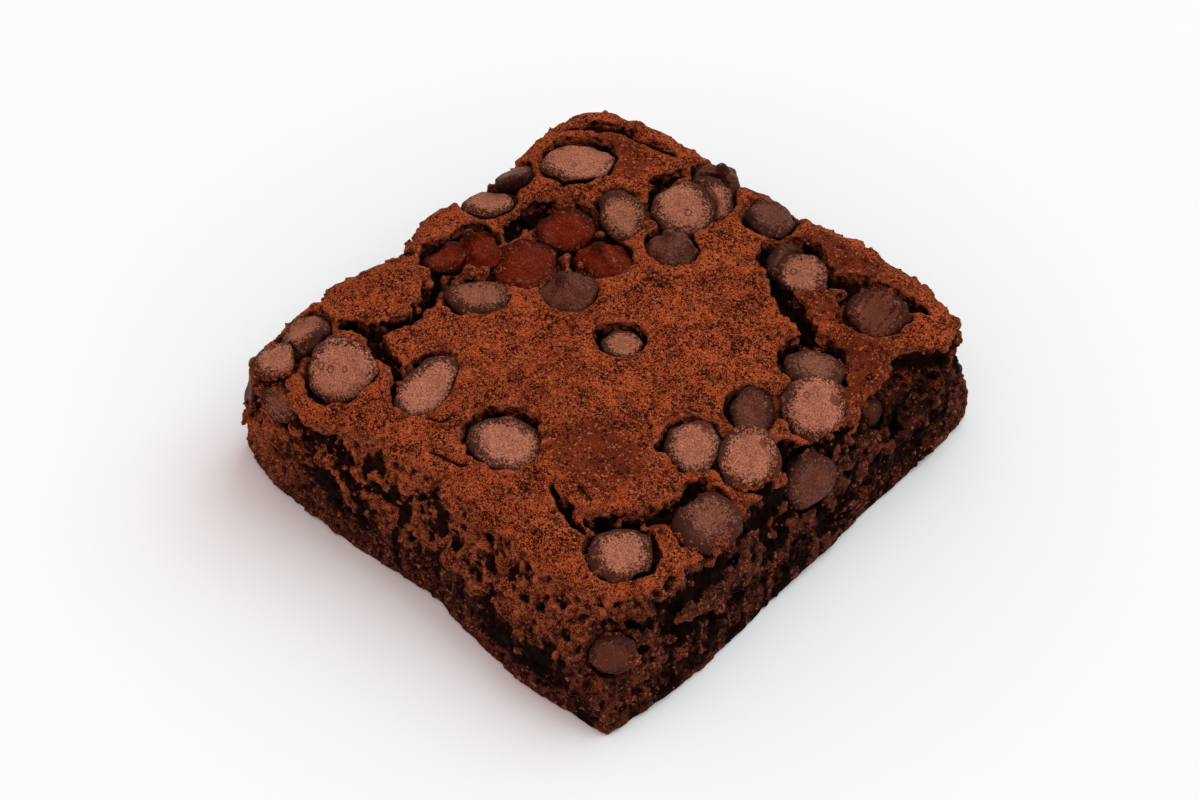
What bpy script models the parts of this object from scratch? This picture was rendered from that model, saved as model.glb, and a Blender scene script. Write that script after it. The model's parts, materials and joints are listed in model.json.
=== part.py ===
"""A chocolate brownie: a cut square of cake under a cracked crust, set with chocolate drops.

The cake is a box mapped between four wavy sides and a domed crust, then cut by its cracks, its
broken hollows and one pocket for each drop.  The tables below are in millimetres, and MM turns
them into Blender's metres.
"""

import math
from collections import namedtuple

import bmesh
import bpy
from mathutils import Matrix, Vector, noise

MM = 0.001

# Driving dimensions of the cake, in millimetres
HALF_WIDTH = 39.0
HALF_DEPTH = 41.0
CRUST_HEIGHT = 22.3
LIP_ROUNDING = 1.4
CELLS_ACROSS = 30
LEVELS = (0.0, 0.12, 0.27, 0.42, 0.56, 0.70, 0.82, 0.93, 1.0)

# How far each side stands out from the centre at the foot and at the crust's lip, given as
# (place along the side, distance), with smooth curves between
FOOT = {
    "east": ((-40, 38.2), (-22, 39.6), (2, 38.6), (24, 38.0), (40, 38.6)),
    "north": ((-36, 38.5), (-10, 40.0), (10, 41.2), (35, 42.0)),
    "west": ((-38, 40.3), (-20, 39.2), (0, 38.0), (20, 38.2), (36, 38.0)),
    "south": ((-38, 39.8), (-26, 41.1), (-7, 40.6), (3, 39.4), (15, 41.0), (24, 42.0), (36, 41.0)),
}
LIP = {
    "east": ((-34, 35.6), (-24, 35.6), (-13, 34.8), (-4, 34.4), (6, 34.6), (17, 35.2), (27, 38.6), (34, 38.2)),
    "north": ((-34, 36.4), (-22, 38.0), (-10, 38.2), (3, 38.9), (18, 40.7), (34, 40.6)),
    "west": ((-38, 37.4), (-20, 37.6), (-8, 35.4), (2, 37.4), (12, 35.2), (24, 36.0), (34, 37.0)),
    "south": ((-36, 40.2), (-27, 39.6), (-17, 37.2), (-8, 35.4), (4, 34.2), (28, 34.2)),
}
# How much of the way from lip to foot a side has gone at each share of the height
SHOULDER = ((0.0, 1.0), (0.15, 0.90), (0.35, 0.95), (0.55, 0.80), (0.78, 0.42), (0.92, 0.08), (1.0, 0.0))
STRAIGHT = ((0.0, 1.0), (0.15, 0.85), (0.50, 0.60), (0.80, 0.25), (0.92, 0.0), (1.0, 0.0))
SLOPES = {"east": STRAIGHT, "north": STRAIGHT, "west": STRAIGHT, "south": SHOULDER}
UNDERCUT = {"east": 1.4, "north": 0.9, "west": 0.8, "south": 0.3}
UNDERCUT_LEVEL = 0.74
UNDERCUT_SPREAD = 0.11

# How far each corner is drawn in along both axes, at the foot and at the lip
Corner = namedtuple("Corner", "foot lip")
CORNERS = {
    ("west", "south"): Corner(1.8, 1.6),
    ("east", "south"): Corner(0.6, 4.2),
    ("east", "north"): Corner(1.6, 2.8),
    ("west", "north"): Corner(2.6, 2.6),
}
CORNER_POWER = 7

# Mounds of the crust, as centre, spread in X and Y, and rise; a negative rise is a dip
Mound = namedtuple("Mound", "x y spread_x spread_y rise")
MOUNDS = (
    Mound(4, -2, 30, 30, 1.0),
    Mound(-26, 27, 13, 12, 1.5),
    Mound(20, 35, 16, 7, 1.4),
    Mound(-30, -14, 9, 12, 0.6),
    Mound(-19, 6, 9, 8, -2.2),
    Mound(-35, -8, 3.5, 2.6, -2.4),
    Mound(29, 6, 9, 16, -0.8),
)
# The crust in front of this round plate lies lower, as a terrace round the front corner
PLATE_CENTRE = (15.5, -12.5)
PLATE_RADIUS = 13.7
TERRACE_DROP = 2.2

# Cracks: their width, their depth and the points they run through
Crack = namedtuple("Crack", "name width depth points")
CRACKS = (
    Crack("left_rift", 2.5, 3.8, (
        (-30, -25), (-25.5, -22.5), (-24, -19.5), (-23, -16.5), (-23.5, -13), (-26, -9), (-28.5, -5))),
    Crack("left_gap", 2.8, 3.8, ((-26.5, -23), (-22, -24.5), (-18.5, -24.5))),
    Crack("basin_edge", 2.1, 3.2, (
        (-28, 3), (-25, 4.5), (-25, 8.5), (-25.5, 13), (-20.5, 16.5))),
    Crack("back_rim", 1.8, 3.2, (
        (-36, 24.5), (-31, 29.5), (-26, 32.5), (-22, 33.5), (-18, 34.5), (-14, 34.5))),
    Crack("back_split", 1.9, 3.4, ((-11.5, 21.5), (-14.5, 26.5), (-14.5, 30), (-13, 33.5))),
    Crack("long_split", 2.5, 4.0, (
        (7.5, 26), (10.3, 25.2), (14.2, 23.2), (17.6, 22.1), (21, 20.9), (24.6, 19.9), (28.5, 19))),
    Crack("strip_split", 2.5, 3.8, (
        (8.5, 34.2), (11.5, 32.8), (15, 31.2), (18.2, 31), (21, 32.9), (24, 34.4), (28, 34.6), (31, 34.4))),
    Crack("front_arc", 2.8, 4.0, (
        (28.5, -9.5), (28.4, -14), (27.9, -18), (26.4, -21.3), (23.6, -24.0), (20.6, -26.2))),
    Crack("front_split", 1.6, 3.0, ((13.2, -25.6), (16.6, -26.6), (20.0, -27.4))),
)

# Broken hollows in the sides: centre and half sizes of a lumpy ball that is cut away
Hollow = namedtuple("Hollow", "name centre half_sizes")
HOLLOWS = (
    Hollow("right_cave", (40.6, 24.4, 17.0), (9.6, 10.0, 7.6)),
    Hollow("right_gap", (35.0, 2.4, 20.6), (3.6, 3.4, 3.8)),
    Hollow("right_dent", (38.4, -8.4, 17.0), (3.4, 4.4, 3.6)),
    Hollow("left_hole", (-29.0, -42.0, 15.5), (3.6, 2.6, 2.0)),
    Hollow("back_dent", (-12.0, 40.5, 14.0), (6.0, 2.6, 2.4)),
)
HOLLOW_LUMPS = 0.18
LARGE_HOLLOW = 7.0

# Chocolate drops: place, base radius, height, stretch along the turned direction, lean of the
# shown end and the compass direction it leans to (0 is +X, 90 is +Y), rise over the crust.
# A drop gives way to the ones before it, so the list runs from the uppermost to the tucked ones.
Drop = namedtuple("Drop", "name x y radius height stretch turn lean towards shows rise finish")
Side_Drop = namedtuple("Side_Drop", "name x y z radius height stretch turn lean towards finish")
VIEWER = -47
AWAY = 133
DROPS = (
    Drop("drop_back_flat", -27.0, 22.6, 5.2, 4.2, 1.16, 43, 8, AWAY, "base", -0.5, "bloom"),
    Drop("drop_left_ridge", -32.2, 8.3, 3.9, 3.8, 1.12, 43, 20, 150, "base", -0.2, "bloom"),
    Drop("drop_left_sliver", -33.0, 14.6, 3.4, 3.4, 1.00, 0, 34, 160, "base", -0.2, "dark"),
    Drop("drop_basin_melted", -18.8, 3.2, 4.9, 3.8, 1.16, 40, 12, VIEWER, "base", 0.3, "gloss"),
    Drop("drop_basin_left", -26.6, 0.2, 4.2, 4.6, 1.00, 0, 15, 200, "tip", 2.0, "gloss"),
    Drop("drop_basin_edge", -28.4, -4.8, 3.4, 3.6, 1.10, 30, 20, 210, "base", 0.0, "gloss"),
    Drop("drop_basin_tucked", -19.5, 12.2, 4.4, 3.8, 1.12, 43, 10, VIEWER, "base", -0.3, "gloss"),
    Drop("drop_basin_oval", -19.8, -6.9, 4.5, 3.8, 1.20, 43, 6, 110, "base", -0.6, "bloom"),
    Drop("drop_basin_peak", -9.8, 2.8, 4.4, 5.0, 1.00, 10, 12, 200, "tip", 2.6, "dark"),
    Drop("drop_basin_cone", -10.8, 11.2, 4.6, 4.6, 1.05, 60, 18, 180, "tip", 1.9, "gloss"),
    Drop("drop_tilted_oval", -14.6, 18.8, 4.9, 4.2, 0.72, 58, 22, -20, "base", -0.2, "bloom"),
    Drop("drop_back_wide", -9.0, 26.4, 5.4, 4.6, 1.02, 20, 20, VIEWER, "base", 0.2, "bloom"),
    Drop("drop_back_second", -7.4, 30.4, 4.6, 4.2, 1.00, 0, 18, -20, "base", 0.1, "bloom"),
    Drop("drop_back_cone", -4.6, 19.4, 4.4, 4.6, 1.00, 0, 12, 160, "tip", 1.7, "dark"),
    Drop("drop_back_tip", -9.9, 34.9, 3.9, 4.0, 1.00, 0, 14, 60, "tip", 1.5, "dark"),
    Drop("drop_north_edge", 1.8, 34.2, 4.2, 4.2, 1.08, 0, 16, 100, "base", -0.2, "dark"),
    Drop("drop_strip_front", 12.9, 28.8, 3.7, 4.0, 1.18, -3, 16, VIEWER, "base", -0.3, "bloom"),
    Drop("drop_strip_back", 9.0, 29.0, 3.5, 4.0, 1.10, 100, 18, 200, "base", -0.3, "dark"),
    Drop("drop_strip_ridged", 25.9, 30.0, 4.4, 4.2, 1.20, 20, 20, -100, "base", -0.5, "bloom"),
    Drop("drop_centre", 2.6, 0.4, 3.1, 3.4, 1.16, 43, 4, VIEWER, "base", -0.6, "bloom"),
    Drop("drop_right_big", 30.8, 10.2, 5.1, 4.4, 1.04, 133, 30, -35, "base", 0.3, "bloom"),
    Drop("drop_right_dark", 25.2, 17.0, 4.5, 4.0, 1.12, 43, 12, 100, "base", -0.8, "crumbed"),
    Drop("drop_cluster_left", 23.2, -6.8, 4.4, 4.2, 1.12, 120, 22, -50, "base", -0.3, "bloom"),
    Drop("drop_cluster_right", 30.3, -3.2, 4.7, 4.6, 1.14, 133, 30, -25, "base", 0.2, "bloom"),
    Drop("drop_cluster_back", 24.8, 3.6, 3.7, 4.0, 1.14, 133, 24, VIEWER, "base", -0.3, "dark"),
    Drop("drop_front_right", 32.6, -14.4, 4.8, 4.2, 1.08, 60, 24, -35, "base", 0.1, "crumbed"),
    Drop("drop_front_flat", 27.5, -26.3, 4.7, 4.2, 1.12, 43, 14, VIEWER, "base", -0.3, "bloom"),
    Drop("drop_corner_low", -32.2, -35.8, 3.7, 3.8, 1.06, 43, 12, 210, "base", -0.3, "bloom"),
    Drop("drop_corner_high", -33.0, -29.4, 4.3, 4.2, 1.08, 110, 28, 195, "base", -0.1, "bloom"),
    Drop("drop_left_large", -23.4, -31.4, 5.5, 4.4, 1.00, 0, 34, -60, "base", 0.2, "bloom"),
    Drop("drop_left_long", -12.3, -24.6, 4.0, 4.0, 1.58, 102, 16, -35, "base", -0.5, "bloom"),
    Drop("drop_front_large", 2.7, -24.2, 5.2, 4.2, 1.10, 43, 8, VIEWER, "base", -0.6, "bloom"),
)
SIDE_DROPS = (
    Side_Drop("drop_side_right", 35.8, 4.4, 14.8, 4.9, 4.2, 1.06, 0, 74, -10, "dark"),
    Side_Drop("drop_side_front", 35.2, -36.2, 12.2, 3.6, 3.6, 1.15, 60, 74, -60, "dark"),
    Side_Drop("drop_side_corner", -36.8, -37.6, 14.0, 3.2, 3.2, 1.20, 90, 80, 232, "dark"),
    Side_Drop("drop_side_crumbed", -28.8, -38.8, 17.8, 3.3, 3.6, 1.20, 0, 62, -78, "crumbed"),
    Side_Drop("drop_side_small", 32.6, 21.0, 12.5, 2.6, 3.0, 1.20, 0, 70, -20, "dark"),
    Side_Drop("drop_side_west", -37.2, 14.0, 12.0, 4.6, 4.0, 1.05, 20, 86, 180, "dark"),
    Side_Drop("drop_side_north", 20.0, 40.0, 13.0, 4.6, 4.0, 1.08, 20, 86, 90, "dark"),
)
DROP_SEGMENTS = 10
POCKET_GAP = 0.55
POCKET_SHIFT = (-0.30, 0.12)
POCKET_LIFT = 1.4
DROP_GAP = 0.32
DROP_DENTS = 0.05

# Finishes as colour, roughness: linear values of the baked surfaces
FINISHES = {
    "crumb": ((0.060, 0.014, 0.006), 0.90),
    "bloom": ((0.150, 0.066, 0.046), 0.62),
    "gloss": ((0.080, 0.014, 0.006), 0.30),
    "dark": ((0.070, 0.028, 0.020), 0.50),
    "crumbed": ((0.090, 0.036, 0.022), 0.75),
}


def clear_scene():
    """Remove what the file starts with."""
    for obj in list(bpy.data.objects):
        bpy.data.objects.remove(obj, do_unlink=True)


def new_collection(name):
    """Return a new collection in the scene."""
    collection = bpy.data.collections.new(name)
    bpy.context.scene.collection.children.link(collection)
    return collection


def finish_material(name):
    """Return the named finish as a Principled material, made once."""
    material = bpy.data.materials.get(name)
    if material is None:
        colour, roughness = FINISHES[name]
        material = bpy.data.materials.new(name)
        material.use_nodes = True
        shader = material.node_tree.nodes["Principled BSDF"]
        shader.inputs["Base Color"].default_value = (*colour, 1.0)
        shader.inputs["Roughness"].default_value = roughness
        shader.inputs["Metallic"].default_value = 0.0
    return material


def add_object(name, bm, collection, finish=None):
    """Turn a bmesh in millimetres into an object in metres."""
    bmesh.ops.scale(bm, vec=(MM, MM, MM), verts=bm.verts)
    mesh = bpy.data.meshes.new(name)
    bm.to_mesh(mesh)
    bm.free()
    obj = bpy.data.objects.new(name, mesh)
    collection.objects.link(obj)
    if finish:
        mesh.materials.append(finish_material(finish))
    else:
        obj.hide_render = True
        obj.display_type = "WIRE"
    return obj


def smooth_step(low, high, value):
    """Return 0 below low, 1 above high and a smooth ramp between."""
    share = min(max((value - low) / (high - low), 0.0), 1.0)
    return share * share * (3.0 - 2.0 * share)


def curve_at(knots, place):
    """Read a smooth curve through (place, value) knots."""
    if place <= knots[0][0]:
        return knots[0][1]
    for (start, low), (end, high) in zip(knots, knots[1:]):
        if place <= end:
            return low + (high - low) * smooth_step(start, end, place)
    return knots[-1][1]


def lumps(point, size, seed):
    """Return smooth noise between about -1 and 1 at a size in millimetres."""
    return noise.noise(Vector(point) / size + Vector((seed, -seed, 0.5 * seed)))


def crust_height(x, y):
    """Return the height of the crust over the underside at a place, in millimetres."""
    height = CRUST_HEIGHT
    for mound in MOUNDS:
        across = (x - mound.x) / mound.spread_x
        along = (y - mound.y) / mound.spread_y
        height += mound.rise * math.exp(-across * across - along * along)
    beyond = math.hypot(x - PLATE_CENTRE[0], y - PLATE_CENTRE[1]) - PLATE_RADIUS
    terrace = smooth_step(-0.6, 1.6, beyond) * smooth_step(4, 12, x) * smooth_step(4, 12, -y)
    height -= TERRACE_DROP * terrace
    height += 0.45 * lumps((x, y, 0), 8.0, 3) + 0.25 * lumps((x, y, 0), 3.4, 11)
    return height


def side_reach(side, along, level):
    """Return how far a side stands out at a place along it and a share of the height."""
    foot = curve_at(FOOT[side], along)
    lip = curve_at(LIP[side], along)
    reach = lip + (foot - lip) * curve_at(SLOPES[side], level)
    below_lip = (level - UNDERCUT_LEVEL) / UNDERCUT_SPREAD
    return reach - UNDERCUT[side] * math.exp(-below_lip * below_lip)


def corner_pull(u, v, level):
    """Return how far a point near a corner is drawn in along both axes."""
    corner = CORNERS[("east" if u > 0 else "west", "north" if v > 0 else "south")]
    pull = corner.foot + (corner.lip - corner.foot) * level
    return pull * (abs(u) * abs(v)) ** CORNER_POWER


def cake_point(u, v, level):
    """Map a point of the unit box to the cake: u and v from -1 to 1, level from 0 to 1."""
    east = side_reach("east", v * HALF_DEPTH, level)
    west = side_reach("west", v * HALF_DEPTH, level)
    north = side_reach("north", u * HALF_WIDTH, level)
    south = side_reach("south", u * HALF_WIDTH, level)
    pull = corner_pull(u, v, level)
    x = (east * (1 + u) - west * (1 - u)) / 2 - math.copysign(pull, u)
    y = (north * (1 + v) - south * (1 - v)) / 2 - math.copysign(pull, v)
    edge = max(abs(u), abs(v))
    if level == LEVELS[-1]:
        rounding = LIP_ROUNDING * edge ** 16
        inward = 1.0 - 0.6 * rounding / HALF_WIDTH
        return Vector((x * inward, y * inward, crust_height(x, y) - rounding))
    z = level * (crust_height(x, y) - 0.5 * LIP_ROUNDING)
    out = Vector((x, y, 0)).normalized()
    coarse = 0.9 if level > 0 else 0.4
    relief = coarse * lumps((x, y, z), 5.5, 21) + 0.6 * coarse * lumps((x, y, z), 2.6, 33)
    return Vector((x, y, z)) + out * relief


def slice_box(bm, places, axis):
    """Cut a bmesh box across an axis at each place."""
    direction = Vector((axis == 0, axis == 1, axis == 2))
    for place in places:
        geometry = bm.verts[:] + bm.edges[:] + bm.faces[:]
        bmesh.ops.bisect_plane(bm, geom=geometry, dist=1e-6, plane_co=direction * place, plane_no=direction)


def make_cake(collection):
    """Make the uncut cake: a sliced box mapped between its sides, foot and crust."""
    bm = bmesh.new()
    bmesh.ops.create_cube(bm, size=2.0)
    across = [2.0 * i / CELLS_ACROSS - 1.0 for i in range(1, CELLS_ACROSS)]
    slice_box(bm, across, 0)
    slice_box(bm, across, 1)
    slice_box(bm, [2.0 * level - 1.0 for level in LEVELS[1:-1]], 2)
    underside = [face for face in bm.faces if face.normal.z < -0.5]
    bmesh.ops.dissolve_faces(bm, faces=underside)
    loose = [vert for vert in bm.verts if not vert.link_faces]
    bmesh.ops.delete(bm, geom=loose, context="VERTS")
    for vert in bm.verts:
        level = min(LEVELS, key=lambda value: abs(2.0 * value - 1.0 - vert.co.z))
        vert.co = cake_point(vert.co.x, vert.co.y, level)
    bmesh.ops.triangulate(bm, faces=bm.faces)
    bmesh.ops.recalc_face_normals(bm, faces=bm.faces)
    return add_object("brownie_cake", bm, collection, "crumb")


def make_crack(crack, collection):
    """Make a crack's cutter: a tube along it that tapers at its ends and is stretched downwards."""
    curve = bpy.data.curves.new(crack.name, "CURVE")
    curve.dimensions = "3D"
    curve.bevel_depth = crack.width / 2
    curve.bevel_resolution = 1
    curve.use_fill_caps = True
    spline = curve.splines.new("POLY")
    spline.points.add(len(crack.points) - 1)
    last = len(crack.points) - 1
    for index, (x, y) in enumerate(crack.points):
        spline.points[index].co = (x, y, crust_height(x, y), 1.0)
        spline.points[index].radius = 0.55 if index in (0, last) else 1.0
    guide = bpy.data.objects.new(crack.name, curve)
    bpy.context.scene.collection.objects.link(guide)
    tube = bpy.data.meshes.new_from_object(guide.evaluated_get(bpy.context.evaluated_depsgraph_get()))
    bpy.data.objects.remove(guide, do_unlink=True)
    bm = bmesh.new()
    bm.from_mesh(tube)
    bmesh.ops.remove_doubles(bm, verts=bm.verts, dist=0.001)
    for vert in bm.verts:
        surface = crust_height(vert.co.x, vert.co.y)
        vert.co.z = surface + (vert.co.z - surface) * 2.0 * crack.depth / crack.width
    bmesh.ops.triangulate(bm, faces=bm.faces)
    bmesh.ops.recalc_face_normals(bm, faces=bm.faces)
    return add_object("cut_" + crack.name, bm, collection)


def make_hollow(hollow, collection):
    """Make a hollow's cutter: a ball with lumps, stretched to the hollow's size."""
    bm = bmesh.new()
    rings = 3 if max(hollow.half_sizes) > LARGE_HOLLOW else 2
    bmesh.ops.create_icosphere(bm, subdivisions=rings, radius=1.0)
    for vert in bm.verts:
        vert.co *= 1.0 + HOLLOW_LUMPS * lumps(vert.co, 0.45, hollow.centre[1])
    bmesh.ops.scale(bm, vec=hollow.half_sizes, verts=bm.verts)
    bmesh.ops.translate(bm, vec=hollow.centre, verts=bm.verts)
    return add_object("cut_" + hollow.name, bm, collection)


def drop_bmesh(drop, seed, gap=0.0, lift=0.0):
    """Turn a drop's outline: a nearly flat base at the top, a round rim, and a cone below it.

    As a cutter it is larger by a gap on every side, and its base is lifted clear of the crust.
    """
    radius, height = drop.radius, drop.height
    flat = 0.80 if lift == 0 else 0.97
    outline = (
        (0.0, 0.05 * height + lift), (flat * radius, 0.02 * height + lift),
        (radius, -0.24 * height), (0.62 * radius, -0.74 * height), (0.0, -height))
    bm = bmesh.new()
    verts = [bm.verts.new((r, 0.0, z)) for r, z in outline]
    edges = [bm.edges.new(pair) for pair in zip(verts, verts[1:])]
    bmesh.ops.spin(
        bm, geom=verts + edges, cent=(0, 0, 0), axis=(0, 0, 1), angle=2 * math.pi,
        steps=DROP_SEGMENTS, use_merge=True)
    bmesh.ops.remove_doubles(bm, verts=bm.verts, dist=0.001)
    bmesh.ops.scale(bm, vec=(drop.stretch, 1.0, 1.0), verts=bm.verts)
    for vert in bm.verts:
        dent = DROP_DENTS * lumps((vert.co.x, vert.co.y, 0), 3.0, seed)
        vert.co *= 1.0 + dent
    bmesh.ops.triangulate(bm, faces=bm.faces)
    bmesh.ops.recalc_face_normals(bm, faces=bm.faces)
    if gap > 0:
        bm.normal_update()
        for vert, normal in [(vert, vert.normal.copy()) for vert in bm.verts]:
            vert.co += normal * gap
    return bm


def drop_matrix(drop):
    """Return where a drop sits, in millimetres: leaning, turned, and base or tip up."""
    direction = math.radians(drop.towards)
    axis = Vector((-math.sin(direction), math.cos(direction), 0))
    turn = Matrix.Rotation(math.radians(drop.turn), 4, "Z")
    turned = Matrix.Rotation(math.radians(drop.lean), 4, axis) @ turn
    if hasattr(drop, "z"):
        return Matrix.Translation((drop.x, drop.y, drop.z)) @ turned
    surface = crust_height(drop.x, drop.y)
    if drop.shows == "tip":
        base = surface + drop.rise - drop.height
        return Matrix.Translation((drop.x, drop.y, base)) @ turned @ Matrix.Rotation(math.pi, 4, "X")
    return Matrix.Translation((drop.x, drop.y, surface + drop.rise)) @ turned


def place(obj, matrix):
    """Set an object's location and rotation from a matrix in millimetres."""
    obj.location = matrix.to_translation() * MM
    obj.rotation_euler = matrix.to_euler()


def cut(obj, cutter):
    """Take a cutter away from an object with a Boolean modifier."""
    modifier = obj.modifiers.new(cutter.name, "BOOLEAN")
    modifier.operation = "DIFFERENCE"
    modifier.solver = "EXACT"
    modifier.object = cutter


def make_drops(collection, cutters):
    """Make each drop and its pocket; a drop gives way to the neighbours listed before it."""
    pockets = []
    placed = []
    for index, drop in enumerate(DROPS + SIDE_DROPS):
        matrix = drop_matrix(drop)
        lift = POCKET_LIFT if getattr(drop, "shows", "base") == "base" else 0.0
        obj = add_object(drop.name, drop_bmesh(drop, index), collection, drop.finish)
        pocket = add_object("pocket_" + drop.name, drop_bmesh(drop, index, POCKET_GAP, lift), cutters)
        room = add_object("room_" + drop.name, drop_bmesh(drop, index, DROP_GAP), cutters)
        for piece in (obj, pocket, room):
            place(piece, matrix)
        pocket.location += Vector((*POCKET_SHIFT, 0)) * MM
        for other, neighbour in placed:
            reach = (drop.radius * drop.stretch + other.radius * other.stretch) * 1.25
            if (obj.location - neighbour.location).length < reach * MM:
                cut(obj, neighbour)
        placed.append((drop, room))
        pockets.append(pocket)
    return pockets


def bake_cuts(obj):
    """Apply an object's modifiers and drop any loose scrap that the cuts leave."""
    evaluated = obj.evaluated_get(bpy.context.evaluated_depsgraph_get())
    mesh = bpy.data.meshes.new_from_object(evaluated)
    obj.modifiers.clear()
    bm = bmesh.new()
    bm.from_mesh(mesh)
    unseen = set(bm.verts)
    islands = []
    while unseen:
        island = set()
        front = [unseen.pop()]
        while front:
            vert = front.pop()
            island.add(vert)
            for edge in vert.link_edges:
                other = edge.other_vert(vert)
                if other in unseen:
                    unseen.remove(other)
                    front.append(other)
        islands.append(island)
    islands.sort(key=len)
    for scrap in islands[:-1]:
        bmesh.ops.delete(bm, geom=list(scrap), context="VERTS")
    bm.to_mesh(mesh)
    bm.free()
    obj.data = mesh


def centre_on_origin(objects):
    """Move everything so that the whole stands on Z = 0 with its box centred on the origin."""
    depsgraph = bpy.context.evaluated_depsgraph_get()
    corners = []
    for obj in objects:
        evaluated = obj.evaluated_get(depsgraph)
        corners += [evaluated.matrix_world @ vert.co for vert in evaluated.data.vertices]
    low = Vector(min(corner[axis] for corner in corners) for axis in range(3))
    high = Vector(max(corner[axis] for corner in corners) for axis in range(3))
    shift = Vector((-(low.x + high.x) / 2, -(low.y + high.y) / 2, -low.z))
    for obj in bpy.data.objects:
        obj.location += shift
    print("size in mm", [round((b - a) / MM, 2) for a, b in zip(low, high)], "shift", tuple(shift / MM))


def main():
    """Build the brownie."""
    clear_scene()
    part = new_collection("chocolate_brownie")
    cutters = new_collection("cutters")
    cake = make_cake(part)
    for cutter in [make_crack(crack, cutters) for crack in CRACKS]:
        cut(cake, cutter)
    for cutter in [make_hollow(hollow, cutters) for hollow in HOLLOWS]:
        cut(cake, cutter)
    for pocket in make_drops(part, cutters):
        cut(cake, pocket)
    bpy.context.view_layer.update()
    for obj in part.objects:
        bake_cuts(obj)
    centre_on_origin(part.objects)


main()
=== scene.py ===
# %% [markdown]
# # A chocolate brownie set with chocolate drops
#
# The real thing is one cut square of cake, about 79 by 84 mm and 25 mm high. It has a matte, sandy
# crust, four torn sides of moist crumb, and thirty-nine chocolate drops pressed into its top and sides.
# The CAD model holds every main form: the square, the cracks, the pockets and the drops. This script
# dresses it, from the large crumbs down to the grain, so it starts from the CAD meshes and sculpts
# copies of them. Measures are in millimetres, and MM turns them into Blender's metres.

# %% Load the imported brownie
import json
import math
from itertools import product

import bmesh
import bpy
import numpy as np
from mathutils import Matrix, Vector
from mathutils.bvhtree import BVHTree


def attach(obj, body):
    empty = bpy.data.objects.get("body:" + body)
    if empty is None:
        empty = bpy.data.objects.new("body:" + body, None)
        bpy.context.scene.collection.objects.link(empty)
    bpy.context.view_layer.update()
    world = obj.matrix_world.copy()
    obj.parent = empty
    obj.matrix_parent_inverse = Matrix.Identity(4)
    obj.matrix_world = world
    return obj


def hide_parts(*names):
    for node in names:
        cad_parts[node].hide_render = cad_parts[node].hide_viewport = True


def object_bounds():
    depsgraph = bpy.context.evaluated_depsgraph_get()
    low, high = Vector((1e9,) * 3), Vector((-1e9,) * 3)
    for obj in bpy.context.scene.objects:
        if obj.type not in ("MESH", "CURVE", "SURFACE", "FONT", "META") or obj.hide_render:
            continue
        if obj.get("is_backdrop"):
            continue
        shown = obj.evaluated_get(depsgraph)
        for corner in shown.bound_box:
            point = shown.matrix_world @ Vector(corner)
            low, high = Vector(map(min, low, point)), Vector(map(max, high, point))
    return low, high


MM = 0.001
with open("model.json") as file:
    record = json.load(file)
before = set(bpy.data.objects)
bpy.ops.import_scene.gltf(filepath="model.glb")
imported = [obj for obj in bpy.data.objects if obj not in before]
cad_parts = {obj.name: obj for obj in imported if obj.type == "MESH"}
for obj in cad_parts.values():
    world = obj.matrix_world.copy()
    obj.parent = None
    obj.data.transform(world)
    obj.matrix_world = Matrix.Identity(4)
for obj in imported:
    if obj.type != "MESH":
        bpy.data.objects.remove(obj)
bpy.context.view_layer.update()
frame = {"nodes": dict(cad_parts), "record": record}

# %% [markdown]
# ## Camera
#
# The brownie was photographed from a corner and well above. A long lens keeps its far edges almost
# parallel to the near ones. The camera could be turned by hand until it looks right, but a direction
# and a distance from one target point are easier to read and to change, so it is placed by those.

# %% Camera
AZIMUTH = math.radians(43)
ELEVATION = math.radians(49.5)
DISTANCE = 505
TARGET = Vector((-5.483, 4.602, 0))

towards_camera = Vector((math.sin(AZIMUTH) * math.cos(ELEVATION),
                         -math.cos(AZIMUTH) * math.cos(ELEVATION), math.sin(ELEVATION)))
lens = bpy.data.cameras.new("camera")
lens.lens, lens.sensor_width, lens.clip_start = 100, 36, 0.01
camera = bpy.data.objects.new("camera", lens)
camera.location = (TARGET + towards_camera * DISTANCE) * MM
camera.rotation_euler = towards_camera.to_track_quat("Z", "Y").to_euler()
bpy.context.scene.collection.objects.link(camera)
bpy.context.scene.camera = camera
print("camera at", [round(v, 3) for v in camera.location])

# %% [markdown]
# ## Noise for sculpting
#
# Cake has no straight line in it. Its forms come from random numbers that belong to places: soft noise
# for swells, and pebbles, cells round scattered points, for crumbs. Blender has both as textures, but
# NumPy works on all the points of a mesh at once, and lets one noise steer another. The large odd
# numbers only stir the digits of a cell's place, so that neighbours get unlike numbers.

# %% Noise
CELL_STIRRERS = (73856093, 19349663, 83492791)
LAST_STIRRERS = (2246822519, 3266489917)
LARGEST_NUMBER = 4294967295.0


def scatter(cells, seed):
    """Return an even random number from 0 to 1 for each whole-numbered cell."""
    cells = cells.astype(np.uint32)
    mixed = np.uint32(seed * 7919 + 17)
    for axis, stirrer in enumerate(CELL_STIRRERS):
        mixed = mixed ^ cells[..., axis] * np.uint32(stirrer)
    for stirrer in LAST_STIRRERS:
        mixed = (mixed ^ (mixed >> np.uint32(15))) * np.uint32(stirrer)
    return (mixed ^ (mixed >> np.uint32(16))) / LARGEST_NUMBER


def soft_noise(points, size, seed):
    """Return smooth noise from -1 to 1, in lumps of about this size."""
    place = points / size
    cell = np.floor(place)
    share = place - cell
    share = share * share * (3 - 2 * share)
    total = np.zeros(len(points))
    for step in product((0, 1), repeat=3):
        weight = np.prod(np.where(np.array(step, bool), share, 1 - share), axis=1)
        total += weight * scatter(cell.astype(np.int64) + step, seed)
    return 2 * total - 1


def three_noises(points, size, seed):
    """Return soft noise for each of the three directions."""
    return np.stack([soft_noise(points, size, seed + k) for k in range(3)], axis=1)


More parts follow.
